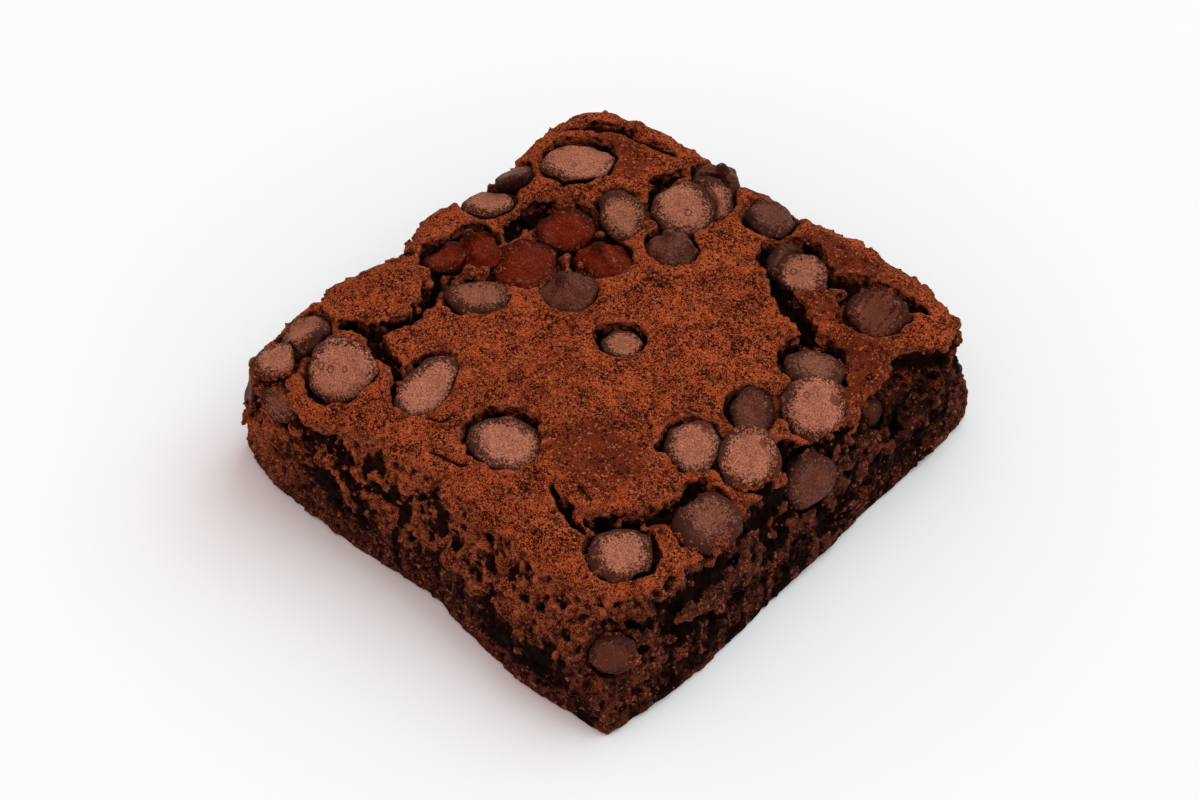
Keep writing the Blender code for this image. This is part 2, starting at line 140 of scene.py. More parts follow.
def pebbles(points, size, seed, stretch=(1, 1, 1)):
    """Return the distance to the middle and to the edge of each point's pebble, and its own number."""
    place = points / (size * np.array(stretch))
    cell = np.floor(place).astype(np.int64)
    nearest = np.full(len(points), 9.0)
    second, own = nearest.copy(), np.zeros(len(points))
    for step in product((-1, 0, 1), repeat=3):
        there = cell + step
        middle = there + np.stack([scatter(there, seed + k) for k in range(3)], axis=1)
        distance = np.linalg.norm(place - middle, axis=1)
        closer = distance < nearest
        second = np.where(closer, nearest, np.minimum(second, distance))
        own = np.where(closer, scatter(there, seed + 3), own)
        nearest = np.where(closer, distance, nearest)
    return nearest, second - nearest, own


def ramp(low, high, value):
    """Return 0 below low, 1 above high and a smooth ramp between."""
    share = np.clip((value - low) / (high - low), 0, 1)
    return share * share * (3 - 2 * share)


# %% [markdown]
# ## Tools for sculpting a whole mesh
#
# A CAD node arrives as loose triangles, so a copy of it is merged first. A voxel Remesh then covers it
# with even little squares, fine enough to carry crumbs. After that the points can be pushed about as
# in sculpting. Skin holds them as one array, with their neighbours, so that smoothing is quick.


# %% Sculpting tools
def merged_copy(node, name):
    """Return a new object whose mesh is the CAD node's, with its loose triangles joined."""
    bm = bmesh.new()
    bm.from_mesh(frame["nodes"][node].data)
    bmesh.ops.remove_doubles(bm, verts=bm.verts, dist=0.001 * MM)
    obj = bpy.data.objects.new(name, bpy.data.meshes.new(name))
    bm.to_mesh(obj.data)
    bm.free()
    bpy.context.scene.collection.objects.link(obj)
    return obj


def settle(obj):
    """Apply an object's modifiers to its mesh."""
    shape = obj.evaluated_get(bpy.context.evaluated_depsgraph_get())
    old, new = obj.data, bpy.data.meshes.new_from_object(shape)
    obj.modifiers.clear()
    obj.data = new
    new.name = obj.name
    bpy.data.meshes.remove(old)


def remesh(obj, voxel):
    """Cover an object with even squares of about this size in millimetres."""
    modifier = obj.modifiers.new("Remesh", "REMESH")
    modifier.mode, modifier.voxel_size = "VOXEL", voxel * MM
    modifier.use_smooth_shade = True
    settle(obj)


class Skin:
    """The points of an object's mesh in millimetres, with what is needed to smooth them."""

    def __init__(self, obj):
        self.mesh = obj.data
        flat = np.empty(3 * len(self.mesh.vertices), np.float32)
        self.mesh.vertices.foreach_get("co", flat)
        self.points = flat.reshape(-1, 3).astype(float) / MM
        ends = np.empty(2 * len(self.mesh.edges), np.int32)
        self.mesh.edges.foreach_get("vertices", ends)
        self.a, self.b = ends[0::2], ends[1::2]
        self.degree = np.maximum(np.bincount(ends, minlength=len(self.points)), 1)

    def around(self, values):
        """Return the mean of each point's neighbours."""
        if values.ndim == 2:
            return np.stack([self.around(column) for column in values.T], axis=1)
        total = np.bincount(self.a, values[self.b], len(self.points))
        return (total + np.bincount(self.b, values[self.a], len(self.points))) / self.degree

    def smooth(self, values, passes, amount=0.5):
        """Return values drawn towards their neighbours' mean, several times over."""
        for _ in range(passes):
            values = values + amount * (self.around(values) - values)
        return values

    def normals(self, points=None):
        """Return the outward direction at each point, of these points or of the skin's own."""
        self.write(self.points if points is None else points)
        flat = np.empty(self.points.size, np.float32)
        self.mesh.vertices.foreach_get("normal", flat)
        self.write(self.points)
        return flat.reshape(-1, 3).astype(float)

    def write(self, points):
        """Put points into the mesh."""
        self.mesh.vertices.foreach_set("co", (points * MM).astype(np.float32).ravel())
        self.mesh.update()

    def store(self, name, values):
        """Keep one number for each point, for a material to read."""
        layer = self.mesh.attributes.new(name, "FLOAT", "POINT")
        layer.data.foreach_set("value", values.astype(np.float32))


# %% [markdown]
# ## Where the crust is
#
# Crust covers the top and ends at a ragged edge. Below it, in the cracks and on the sides, is crumb.
# Painting that border by hand would take long and would not follow later changes. Here a height map of
# the top, with cracks and pockets bridged over, tells how deep a point lies below the crust. Crust is
# what faces up, lies high and isn't deep: each pair of numbers says where crumb ends and crust begins.

# %% Depth below the crust
EMPTY = -1000.0
CRUST_FACING = (0.52, 0.70)
CRUST_HEIGHT = (17.4, 18.6)
CRUMB_DEPTH = (0.7, 1.5)


def windowed(grid, reach, pick):
    """Return the highest or lowest value within reach of each cell of a grid."""
    for axis in (0, 1):
        padded = np.pad(grid, [(reach, reach) if k == axis else (0, 0) for k in (0, 1)], "edge")
        length = grid.shape[axis]
        shifts = [np.take(padded, range(s, s + length), axis) for s in range(2 * reach + 1)]
        grid = pick.reduce(shifts)
    return grid


def depth_below_crust(points, cell=1.0, reach=3):
    """Return how far each point lies below the bridged height map of all points, in millimetres.

    Also return how far the bridge stands over the real top there, which is 0 on any open slope.
    """
    low = points[:, :2].min(axis=0) - 2 * cell
    place = (points[:, :2] - low) / cell
    index = np.floor(place).astype(int)
    top = np.full(index.max(axis=0) + 4, EMPTY)
    np.maximum.at(top, (index[:, 0], index[:, 1]), points[:, 2])
    bridge = windowed(windowed(top, reach, np.maximum), reach, np.minimum)
    bridge = np.where(bridge < EMPTY / 2, windowed(bridge, 2, np.maximum), bridge)
    top = np.where(top < EMPTY / 2, bridge, top)
    place = place - 0.5
    index = np.clip(np.floor(place).astype(int), 0, np.array(top.shape) - 2)
    share = np.clip(place - index, 0, 1)
    heights = []
    for grid in (bridge, top):
        height = 0
        for i, j in product((0, 1), repeat=2):
            weight = np.where(i, share[:, 0], 1 - share[:, 0])
            weight = weight * np.where(j, share[:, 1], 1 - share[:, 1])
            height = height + weight * grid[index[:, 0] + i, index[:, 1] + j]
        heights.append(height)
    return heights[0] - points[:, 2], heights[0] - heights[1]


def distance_inside(points, most=6):
    """Return how far each point lies in from the outline seen from above, up to most millimetres."""
    index = np.floor(points[:, :2] - points[:, :2].min(axis=0)).astype(int) + 1
    inside = np.zeros(index.max(axis=0) + 2)
    inside[index[:, 0], index[:, 1]] = 1
    steps = sum(windowed(inside, reach, np.minimum) for reach in range(most))
    return steps[index[:, 0], index[:, 1]]


def crust_share(skin, passes, seed):
    """Return 1 on the baked crust, 0 on crumb, with a ragged border between."""
    swell = skin.smooth(skin.points, passes)
    facing = skin.normals(swell)[:, 2]
    depth, _ = depth_below_crust(skin.points)
    border = 0.14 * soft_noise(skin.points, 4.0, seed) + 0.10 * soft_noise(skin.points, 1.4, seed + 1)
    flat_enough = ramp(*CRUST_FACING, facing + border)
    high_up = ramp(*CRUST_HEIGHT, skin.points[:, 2] + 3 * border)
    return flat_enough * high_up * (1 - ramp(*CRUMB_DEPTH, depth + 2 * border))


# %% [markdown]
# ## The drops as a hard limit
#
# Crumbs may lie against a chocolate drop but not grow through it. Every point of the cake asks a search
# tree of all the drops how far away the nearest one is, and the relief fades out there.

# %% Distance to the drops
drop_nodes = sorted(name for name in frame["nodes"] if name.startswith("drop_"))
corners, triangles = [], []
for name in drop_nodes:
    mesh = frame["nodes"][name].data
    triangles += [[v + len(corners) for v in face.vertices] for face in mesh.polygons]
    corners += [vertex.co / MM for vertex in mesh.vertices]
drop_tree = BVHTree.FromPolygons(corners, triangles)
FAR = 4.0


def nearest_drop(points):
    """Return how far each point is from the nearest drop, up to FAR, and the way out of that drop."""
    found = [drop_tree.find_nearest(Vector(point), FAR) for point in points]
    distance = np.array([FAR if hit[3] is None else hit[3] for hit in found])
    out = np.array([(0, 0, 1) if hit[1] is None else hit[1] for hit in found], float)
    return distance, out


print("drops:", len(drop_nodes), "triangles:", len(triangles))

# %% [markdown]
# ## Ragged edges and gaps
#
# A torn edge is never straight. The first pass works on half-millimetre squares and moves points
# sideways by a wide noise. Beside a drop, the cake has shrunk away on the side that GAP_SIDE names in
# plan, and hugs the drop on the other. The foot stays put, so that the brownie still lies flat.

# %% Ragged edges and gaps
COARSE_SQUARES = 0.5
GAP_SIDE = np.array((-0.94, 0.34))

cake = merged_copy("brownie_cake", "cake")
remesh(cake, COARSE_SQUARES)
skin = Skin(cake)
crust = skin.smooth(crust_share(skin, 6, 11), 2)
near_drop, out = nearest_drop(skin.points)
room = ramp(0.1, 1.8, near_drop)
above_foot = ramp(0.2, 2.2, skin.points[:, 2])

swell = skin.smooth(skin.points, 2)
outward = skin.normals(swell)
warp = 0.45 * three_noises(swell, 2.4, 21) + 0.30 * three_noises(swell, 1.1, 24)
warp[:, 2] *= 0.2
wide = np.clip(out[:, :2] @ GAP_SIDE, 0, 1) * (1 - ramp(0.9, 2.8, near_drop))
wide *= np.clip(0.05 + 0.35 * soft_noise(swell, 3.0, 27), 0, 1)
pocket = np.zeros_like(swell)
pocket[:, :2] = out[:, :2] * wide[:, None]
hug = ramp(0.35, -0.10, out[:, :2] @ GAP_SIDE) * (1 - ramp(0.6, 2.0, near_drop))
hug *= np.maximum(near_drop - 0.15, 0)
pocket -= out * hug[:, None]
print("points that hug a drop:", int((hug > 0).sum()))

# %% [markdown]
# ## Large crumbs
#
# Where a brownie is torn, it shows lumps of one to three millimetres, ledges that run along with the
# layers, and dark holes. They are raised or sunk along the surface's own direction: wide pebbles give
# layers, smaller ones lumps. The cut side on the right has the deep holes, and the front has level
# slits just below the crust. A second Remesh follows, because stretched squares could not carry the
# finer crumbs.

# %% Large crumbs
SLITS = ((2.6, 0.75, 75), (1.5, 0.30, 78))
DEEPEST, HIGHEST = -2.6, 0.9

twisted = swell + 0.9 * three_noises(swell, 4.5, 31) + 0.3 * three_noises(swell, 1.2, 34)
_, edge, own = pebbles(twisted, 1.9, 41, (2.8, 2.8, 0.9))
layers = 0.9 * (own - 0.5) - 0.75 * np.exp(-((edge / 0.09) ** 2)) * (own > 0.45)
middle, edge, own = pebbles(twisted, 1.6, 51)
lumps = 0.20 * (1 - (middle / 0.75) ** 2) + 0.45 * (own - 0.5) - 0.20 * np.exp(-((edge / 0.10) ** 2))
ledges = 0.8 * soft_noise(swell * (1, 1, 2.6), 5.0, 61)
cut_side = ramp(-0.25, 0.45, outward[:, 0] + 0.5 * outward[:, 1])
holes = -2.0 * cut_side * ramp(0.26, 0.48, soft_noise(swell * (1, 1, 1.7), 2.4, 71))
holes -= 0.3 * (1 - cut_side) * ramp(0.30, 0.50, soft_noise(twisted * (0.35, 1, 1.7), 2.0, 72))
shoulder = ramp(9, 14, swell[:, 2]) * ramp(0.1, 0.4, -outward[:, 1])
slits = np.zeros(len(swell))
for size, depth, seed in SLITS:
    long_noise = soft_noise(twisted * (0.24, 1, 1), size, seed)
    slits = np.minimum(slits, -depth * shoulder * np.exp(-((long_noise / 0.11) ** 2)))
relief = (1 - crust) * (layers + lumps + ledges * (0.3 + 0.7 * cut_side) + holes + slits)
relief = np.clip(relief, DEEPEST, HIGHEST)
relief = np.where(relief > 0, relief * room, relief * (0.3 + 0.7 * room))
relief += crust * 0.16 * soft_noise(swell, 2.6, 81)
moved = warp * (0.25 + 0.75 * room)[:, None] + outward * relief[:, None]
skin.points = swell + (moved + pocket) * above_foot[:, None]
skin.points[:, 2] = np.maximum(skin.points[:, 2], 0)
skin.write(skin.points)
print("large crumbs on", len(skin.points), "points")

# %% [markdown]
# ## Lines in the crust
#
# As a brownie cools, its crust sinks and cracks. The wide cracks are in the CAD model. The thin ones
# are drawn here as lines of a few points in plan, and a point of the cake asks how far off they are.

# %% Lines in the crust
HAIRLINES = (
    ((-3.3, -24.9), (-1.6, -27.1), (2.1, -29.2)),
    ((19.1, -23.9), (16.3, -23.4)),
    ((-8.9, -28.4), (-6.4, -27.9), (-6, -26.2)),
    ((-3.6, -32.7), (-1.1, -32.2), (1.7, -31.1)),
    ((22.5, 28.4), (25.3, 26.7), (27.5, 27.4)),
    ((21.1, 19.9), (20.5, 16.1), (23.2, 11.9)),
)
CRACK_LINES = (
    ((13.2, -25.4), (14.6, -25.9), (16.8, -26.5), (19.2, -27.0), (21.2, -27.1)),
    ((20.4, -25.9), (23.6, -23.8), (26.4, -21.0), (27.7, -18.2), (28.3, -15.0), (28.0, -11.0)),
    ((13.4, 32.4), (15.4, 31.0), (17.9, 29.6), (18.7, 30.8),
     (21.0, 33.0), (23.7, 34.6), (27.7, 34.7), (31.4, 34.9)),
    ((17.4, 22.2), (20.9, 20.9), (24.6, 19.8), (27.8, 19.3), (30.7, 17.4)),
    ((-26.5, -23.0), (-24.4, -20.5), (-23.2, -16.8), (-23.7, -13.0), (-26.1, -9.0)),
    ((-18.8, -24.4), (-16.6, -25.6), (-15.4, -27.8)),
    ((-13.6, 34.4), (-11.0, 33.0), (-9.4, 31.0)),
)


def distance_to_line(points, line):
    """Return the distance in plan from each point to a line of several straight stretches."""
    best = np.full(len(points), 99.0)
    for start, end in zip(np.array(line[:-1], float), np.array(line[1:], float)):
        along = end - start
        share = np.clip((points[:, :2] - start) @ along / (along @ along), 0, 1)
        best = np.minimum(best, np.linalg.norm(points[:, :2] - start - share[:, None] * along, axis=1))
    return best


print("hairlines:", len(HAIRLINES), "thin cracks:", len(CRACK_LINES))

# %% [markdown]
# ## Small crumbs and pores
#
# The second pass is near the limit of what the eye sees at arm's length: sand-like swells and pores on
# the crust, the drawn lines, a welt where the crust hugs a drop, and small crumbs on everything torn.
# What is finer than a third of a millimetre is left to the material's bump.

# %% Small crumbs
FINE_SQUARES = 0.32
HAIRLINE_DEPTH, CRACK_DEPTH = 0.55, 1.3

remesh(cake, FINE_SQUARES)
skin = Skin(cake)
crust = crust_share(skin, 10, 11)
near_drop, _ = nearest_drop(skin.points)
room = ramp(0.0, 0.9, near_drop)
above_foot = ramp(0.0, 0.8, skin.points[:, 2])
swell = skin.smooth(skin.points, 1)
outward = skin.normals(swell)

ragged = swell + 0.5 * three_noises(swell, 1.6, 141)
_, _, own = pebbles(ragged, 0.85, 91)
small = 0.26 * (own - 0.5) + 0.34 * soft_noise(swell, 0.7, 101)
small += 0.45 * (0.22 - np.abs(soft_noise(ragged, 1.5, 104)))
middle, _, own = pebbles(swell, 1.15, 111)
pores = -0.38 * (1 - ramp(0.12, 0.40, middle)) * (own < 0.16)
sand = 0.08 * soft_noise(swell, 1.3, 121) + 0.06 * soft_noise(swell, 0.65, 131)
for line in HAIRLINES:
    pores -= HAIRLINE_DEPTH * (1 - ramp(0.12, 0.42, distance_to_line(ragged, line)))
cracked = np.zeros(len(swell))
for line in CRACK_LINES:
    cracked = np.maximum(cracked, 1 - ramp(0.15, 0.60, distance_to_line(ragged, line)))
cracked *= ramp(18.0, 19.0, swell[:, 2])
welt = 0.22 * np.exp(-(((near_drop - 1.0) / 0.7) ** 2))
relief = (1 - crust) * small + crust * (sand + pores + welt)
relief = np.where(relief > 0, relief * room, relief) - CRACK_DEPTH * cracked
skin.points = swell + outward * (relief * above_foot)[:, None]
skin.points[:, 2] = np.maximum(skin.points[:, 2], 0)
skin.write(skin.points)
print("small crumbs on", len(skin.points), "points")

# %% [markdown]
# ## What the material needs to know
#
# The colour of cake follows its form: hollows take painted shade, and ridges are paler, partly as dry
# crumb and partly as a painted highlight. Each point keeps its share of crust, and how hollow or proud
# it is against its smoothed surroundings. It also keeps how deep it lies in a crack, in a gap beside a
# drop or in the cave under the right corner, for the painted shade there.

# %% Hollows, gaps and depth
CAVE_MIDDLE = np.array((40.5, 24.4, 16.5))
CAVE_SIZE = np.array((10.5, 11.0, 8.5))
DEEPEST_HOLLOW = 0.35

outward = skin.normals()
hollow = np.zeros(len(skin.points))
for passes, share in ((6, 0.5), (24, 0.5)):
    hollow += share * np.sum((skin.smooth(skin.points, passes) - skin.points) * outward, axis=1)
skin.store("crust", skin.smooth(crust, 1))
skin.store("hollow", np.clip(hollow / DEEPEST_HOLLOW, -1, 1))
near_drop, _ = nearest_drop(skin.points)
# gap: nearness to a drop; the material paints shade on the crumb there.
skin.store("gap", 1 - ramp(0.0, 1.2, near_drop))
inner = distance_inside(skin.points)
depth, bridged = depth_below_crust(skin.points, 0.5, 5)
covered = ramp(1.6, 3.0, depth - bridged) * ramp(1.0, 3.2, inner)
in_crack = ramp(0.2, 0.8, bridged)
# deep: a mask of painted shade in cracks, under bridged crust and along the thin drawn cracks, weaker at
# the left corner.
deep = ramp(0.3, 1.5, depth) * (1 - ramp(5.0, 8.0, depth)) * np.maximum(covered, in_crack)
left_corner = ramp(-18, -32, skin.points[:, 0]) * ramp(-28, -35, skin.points[:, 1])
deep = np.maximum(deep * (1 - 0.7 * left_corner), cracked)
# Painted shade in the cave under the right corner joins the same mask.
cave = np.linalg.norm((skin.points - CAVE_MIDDLE) / CAVE_SIZE, axis=1)
in_cave = (0.35 + 0.3 * soft_noise(skin.points, 1.6, 181)) * (1 - ramp(0.8, 1.1, cave)) * (1 - crust)
skin.store("deep", np.maximum(deep, in_cave))
print("hollow from", round(float(hollow.min()), 2), "to", round(float(hollow.max()), 2), "mm")

# %% [markdown]
# ## Dust, moisture and toasting
#
# Sandy dust lies on most of the crust, but not on the smooth spots, each given by its middle and its
# reach in x and y. Crumb is dry and red below the crust and moist lower down, sooner on the cut side
# and later at the left corner. One small place at that corner is toasted pale.

# %% Dust, moisture and toasting
SMOOTH_SPOTS = ((19, 28, 13, 5), (17, 35, 12, 4), (14, -17, 9, 7), (-24, 28, 8, 5), (30, 20, 6, 8))
TOASTED_MIDDLE = np.array((-33.0, -39.0, 16.0))
TOASTED_SIZE = np.array((7.5, 4.5, 4.5))

facing = skin.normals(skin.smooth(skin.points, 24))
cut_side = ramp(-0.25, 0.45, facing[:, 0] + 0.5 * facing[:, 1] + 0.2 * soft_noise(skin.points, 6.0, 151))
cut_side = np.maximum(cut_side, ramp(28, 33, skin.points[:, 0]) * ramp(-0.6, -0.2, facing[:, 1]))
dust = 0.85 + 0.3 * soft_noise(skin.points, 9.0, 171)
for x, y, reach_x, reach_y in SMOOTH_SPOTS:
    away = np.hypot((skin.points[:, 0] - x) / reach_x, (skin.points[:, 1] - y) / reach_y)
    dust -= 0.9 * (1 - ramp(0.5, 1.1, away))
skin.store("dust", np.clip(dust, 0, 1))
swells = soft_noise(skin.points, 7.0, 161) + 0.6 * soft_noise(skin.points, 2.5, 162)
swells += 2.4 * left_corner
baked = 1 - ramp(6.0, 15.0, skin.points[:, 2] + 3.0 * swells)
cut = 1 - ramp(15.0, 21.0, skin.points[:, 2] + 1.5 * swells)
skin.store("moist", (1 - crust) * (cut_side * cut + (1 - cut_side) * baked))
toasted = np.linalg.norm((skin.points - TOASTED_MIDDLE) / TOASTED_SIZE, axis=1) + 0.3 * swells
skin.store("toasted", (1 - ramp(0.5, 1.1, toasted)) * (1 - crust))
print("numbers kept for each point:", len(cake.data.attributes))

# %% [markdown]
# ## Cutting the cake mesh in layers
#
# All the crumbs together are more triangles than one piece should have. The mesh is cut level at
# two heights, where only rough crumb shows, and each layer is closed again with a cap. A layer that
# still has too many triangles is thinned a little.

# %% Layers of the cake
LAYERS = (("cake_foot", None, 5.0), ("cake_crumb", 5.0, 15.5), ("cake_crust", 15.5, None))
MOST_TRIANGLES = 190000


def cut_level(bm, height, keep_above):
    """Cut a bmesh level at a height, keep one part and close it."""
    direction = (0, 0, -1 if keep_above else 1)
    geometry = bm.verts[:] + bm.edges[:] + bm.faces[:]
    result = bmesh.ops.bisect_plane(bm, geom=geometry, dist=0.0001 * MM, plane_co=(0, 0, height * MM),
                                    plane_no=direction, clear_outer=True)
    rim = [item for item in result["geom_cut"] if isinstance(item, bmesh.types.BMEdge)]
    caps = bmesh.ops.triangle_fill(bm, edges=rim, use_beauty=True, normal=direction)["geom"]
    for face in caps:
        if isinstance(face, bmesh.types.BMFace):
            face.smooth = False


cake_layers = []
for name, low, high in LAYERS:
    bm = bmesh.new()
    bm.from_mesh(cake.data)
    if low:
        cut_level(bm, low, True)
    if high:
        cut_level(bm, high, False)
    bmesh.ops.triangulate(bm, faces=bm.faces)
    open_edges = sum(not edge.is_manifold for edge in bm.edges)
    layer = bpy.data.objects.new(name, bpy.data.meshes.new(name))
    bm.to_mesh(layer.data)
    count = len(bm.faces)
    bm.free()
    bpy.context.scene.collection.objects.link(layer)
    if count > MOST_TRIANGLES:
        modifier = layer.modifiers.new("Decimate", "DECIMATE")
        modifier.ratio = MOST_TRIANGLES / count
        settle(layer)
    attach(layer, "root")
    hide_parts("brownie_cake")
    cake_layers.append(layer)
    print(name, "triangles:", count, "kept:", len(layer.data.polygons), "open edges:", open_edges)
bpy.data.objects.remove(cake, do_unlink=True)

# %% [markdown]
# ## Chocolate drops
#
# A drop is a small cone of chocolate on a round base. Most of these lie base up, so a dished disc
# shows. They are not alike: BLOOM says how pale a drop is, where 1 is wholly pale, WIDER_RIM how much
# further in its dark rim reaches, TIPPED which ones show their curled tip, and RIDGED which one is
# creased across.

# %% How the drops differ
RIDGED = "drop_strip_ridged"
BLOOM = {
    "drop_basin_oval": 0.45, "drop_corner_high": 0.55, "drop_corner_low": 0.7, "drop_left_ridge": 0.65,
    "drop_centre": 0.6, "drop_tilted_oval": 0.6, "drop_back_wide": 0.8, "drop_back_second": 0.7,
    "drop_back_flat": 0.75, "drop_strip_ridged": 0.12, "drop_strip_front": 0.7, "drop_left_large": 0.85,
    "drop_cluster_left": 0.85, "drop_cluster_right": 0.9, "drop_side_front": 0.3, "drop_side_small": 0.3,
    "drop_side_corner": 0.3, "drop_side_west": 0.4, "drop_side_north": 0.4,
}
WIDER_RIM = {
    "drop_front_flat": 0.10, "drop_front_right": 0.06, "drop_left_long": 0.04, "drop_tilted_oval": 0.06,
    "drop_right_big": -0.08, "drop_left_large": -0.10, "drop_back_flat": -0.14, "drop_cluster_left": 0.04,
    "drop_front_large": 0.02, "drop_basin_oval": 0.10, "drop_centre": 0.06,
}
TIPPED = ("drop_basin_left", "drop_basin_peak", "drop_basin_cone", "drop_back_cone", "drop_back_tip")
TIP_HEIGHT = 0.9
CURL = np.array((-0.4, 0.1, 0.6))
print("drops less pale than the rest:", len(BLOOM), "with their tip up:", len(TIPPED))

# %% [markdown]
# ## Sculpting the drops
#
# Each copy of a CAD drop is remeshed, smoothed until its ten-sided base is round, and dented a little,
# more so in the melted basin. Its own axis, the direction in which it is flattest, tells where the
# base and its rim are. Each point keeps how near the rim it is, for the material, a little nearer on
# the side towards GAP_SIDE as painted shade.

# %% Sculpt the drops
DROP_SQUARES = 0.24
RIDGE_WIDTH = 1.2


def drop_axis(points):
    """Return a drop's middle, the way its base faces, and its long and its short way along the base."""
    middle = points.mean(axis=0)
    away = points - middle
    _, vectors = np.linalg.eigh(away.T @ away)
    axis = vectors[:, 0]
    height = away @ axis
    radius = np.linalg.norm(away - height[:, None] * axis, axis=1)
    if np.corrcoef(height, radius)[0, 1] < 0:
        axis = -axis
    return middle, axis, vectors[:, 2], vectors[:, 1]


drops = {}
for number, node in enumerate(drop_nodes):
    in_basin = node.startswith("drop_basin")
    drop = merged_copy(node, node.replace("drop_", "chip_"))
    remesh(drop, DROP_SQUARES)
    skin = Skin(drop)
    skin.points = skin.smooth(skin.points, 22)
    dents = 0.9 if in_basin else 0.7
    skin.points = skin.points + dents * three_noises(skin.points, 4.6, 1000 + 7 * number)
    skin.points = skin.points + 0.24 * three_noises(skin.points, 1.9, 2000 + 7 * number)
    middle, axis, long_way, short_way = drop_axis(skin.points)
    outward = skin.normals()
    away = skin.points - middle
    reach_a, reach_b = np.abs(away @ long_way).max(), np.abs(away @ short_way).max()
    across = np.hypot(away @ long_way / reach_a, away @ short_way / reach_b)
    base = ramp(0.3, 0.8, outward @ axis)
    relief = 0.10 * soft_noise(skin.points, 2.2, 200 + number)
    relief = relief + 0.05 * soft_noise(skin.points, 0.9, 300 + number)
    relief += (1 - base) * (0.42 * soft_noise(skin.points, 3.4, 500 + number) - 0.05)
    dish = 1 - ramp(0.0, 0.70, across + 0.12 * soft_noise(skin.points, 2.5, 600 + number))
    relief -= 0.18 * base * dish
    if in_basin:
        melted = 0.45 * soft_noise(skin.points, 2.6, 700 + number)
        relief += melted + 0.15 * soft_noise(skin.points, 1.1, 800 + number)
    relief += (1 - base) * 0.10 * soft_noise(skin.points, 0.7, 400 + number)
    ridge = np.zeros(len(skin.points))
    knob = np.zeros(len(skin.points))
    if node == RIDGED:
        ridge = np.sin(away @ long_way * 2 * math.pi / RIDGE_WIDTH + 2.5 * soft_noise(skin.points, 2.6, 9))
        ridge *= 1 - ramp(0.45, 0.9, across)
        relief += 0.12 * ridge
    if node in TIPPED:
        turn = np.arctan2(away @ short_way, away @ long_way)
        relief += 0.14 * np.cos(7 * turn + number) * ramp(0.15, 0.5, across) * (outward @ axis < 0.3)
        knob = (outward @ axis < 0) * ramp(0.36, 0.14, across)
        skin.points = skin.points + (1.5 * CURL - 0.5 * axis) * (knob * TIP_HEIGHT)[:, None]
    skin.points = skin.points + outward * relief[:, None]
    skin.write(skin.points)
    rim = 0.3 + 0.4 * across if node in TIPPED else np.maximum(across, 1.12 - outward @ axis)
    # The rim reaches a little further in on each drop's GAP_SIDE: painted shade on the side towards the
    # gap.
    level = (away / np.linalg.norm(away, axis=1)[:, None])[:, :2] @ GAP_SIDE
    rim += 0.08 * level * ramp(0.3, 0.8, across) + 0.16 * soft_noise(skin.points, 3.0, 900 + number)
    rim += 0.6 * knob - 0.25 * ridge + WIDER_RIM.get(node, 0)
    skin.store("rim", np.clip(rim, 0, 1.5))
    skin.store("bloom", np.full(len(rim), BLOOM.get(node, 1.0)))
    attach(drop, "root")
    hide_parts(node)
    drops[node] = drop
print("drops:", len(drops), "triangles:", sum(2 * len(drop.data.polygons) for drop in drops.values()))

# %% [markdown]
# ## Loose crumbs
#
# Crumbs from the knife stick to the sides, in the cracks and to the rims of some drops. COATED says
# for each of these which side of it carries crumbs, as a direction in x and y, and what share of the
# points there. Each crumb is a ball of twenty faces pushed out of shape, half sunk in what carries it.
# There are many, so few faces each.

# %% Loose crumbs
COATED = {
    "drop_right_big": (0.75, -0.66, 0.10), "drop_cluster_right": (0.75, -0.66, 0.10),
    "drop_front_right": (0.6, -0.8, 0.08), "drop_left_large": (0.6, 0.8, 0.08),
    "drop_side_crumbed": (0.3, -0.95, 0.16), "drop_side_right": (0.2, 0.98, 0.08),
    "drop_basin_melted": (0.5, -0.86, 0.09), "drop_basin_cone": (0.5, -0.86, 0.09),
    "drop_basin_edge": (0.5, -0.86, 0.06), "drop_basin_oval": (-0.4, 0.9, 0.04),
    "drop_strip_ridged": (0.2, 0.98, 0.04), "drop_side_front": (0.4, -0.9, 0.16),
    "drop_left_long": (-0.4, -0.9, 0.04), "drop_side_small": (0.3, 0.6, 0.25),
    "drop_right_dark": (-0.2, 0.98, 0.06), "drop_side_corner": (0.5, -0.86, 0.12),
    "drop_side_west": (0, 1, 0.14), "drop_side_north": (1, 0, 0.14),
    "drop_corner_low": (0.3, -0.95, 0.08), "drop_front_flat": (0.2, -0.98, 0.03),
}

SHARE_ON_CAKE = 0.008
SMALLEST, GROWTH, JITTER, SUNK = 0.16, 0.44, 0.2, 0.15

random = np.random.default_rng(7)
carriers, directions = [], []
for layer in cake_layers:
    skin = Skin(layer)
    values = {}
    for name in ("crust", "gap"):
        flat = np.empty(len(skin.points), np.float32)
        layer.data.attributes[name].data.foreach_get("value", flat)
        values[name] = flat
    chosen = np.flatnonzero((values["crust"] < 0.25) & (skin.points[:, 2] > 1.0) & (values["gap"] < 0.3)
                            & (random.random(len(skin.points)) < SHARE_ON_CAKE))
    carriers.append(skin.points[chosen])
    directions.append(skin.normals()[chosen])
for node, (x, y, share) in COATED.items():
    skin = Skin(drops[node])
    away = skin.points - skin.points.mean(axis=0)
    level = away[:, :2] @ np.array((x, y)) / np.linalg.norm(away, axis=1)
    rim = np.empty(len(skin.points), np.float32)
    drops[node].data.attributes["rim"].data.foreach_get("value", rim)
    in_side = node.startswith("drop_side")
    turned_to = level > (-1 if in_side else 0.35)
    turned_to &= soft_noise(skin.points, 2.4, 191) > (0.15 if in_side else -0.3)
    least_rim = 0.3 if node.startswith("drop_basin") else 0.72
    chosen = np.flatnonzero((rim > least_rim) & turned_to & (away[:, 2] > -2.5)
                            & (random.random(len(skin.points)) < share))
    carriers.append(skin.points[chosen])
    directions.append(skin.normals()[chosen])
carriers, directions = np.concatenate(carriers), np.concatenate(directions)
bm = bmesh.new()
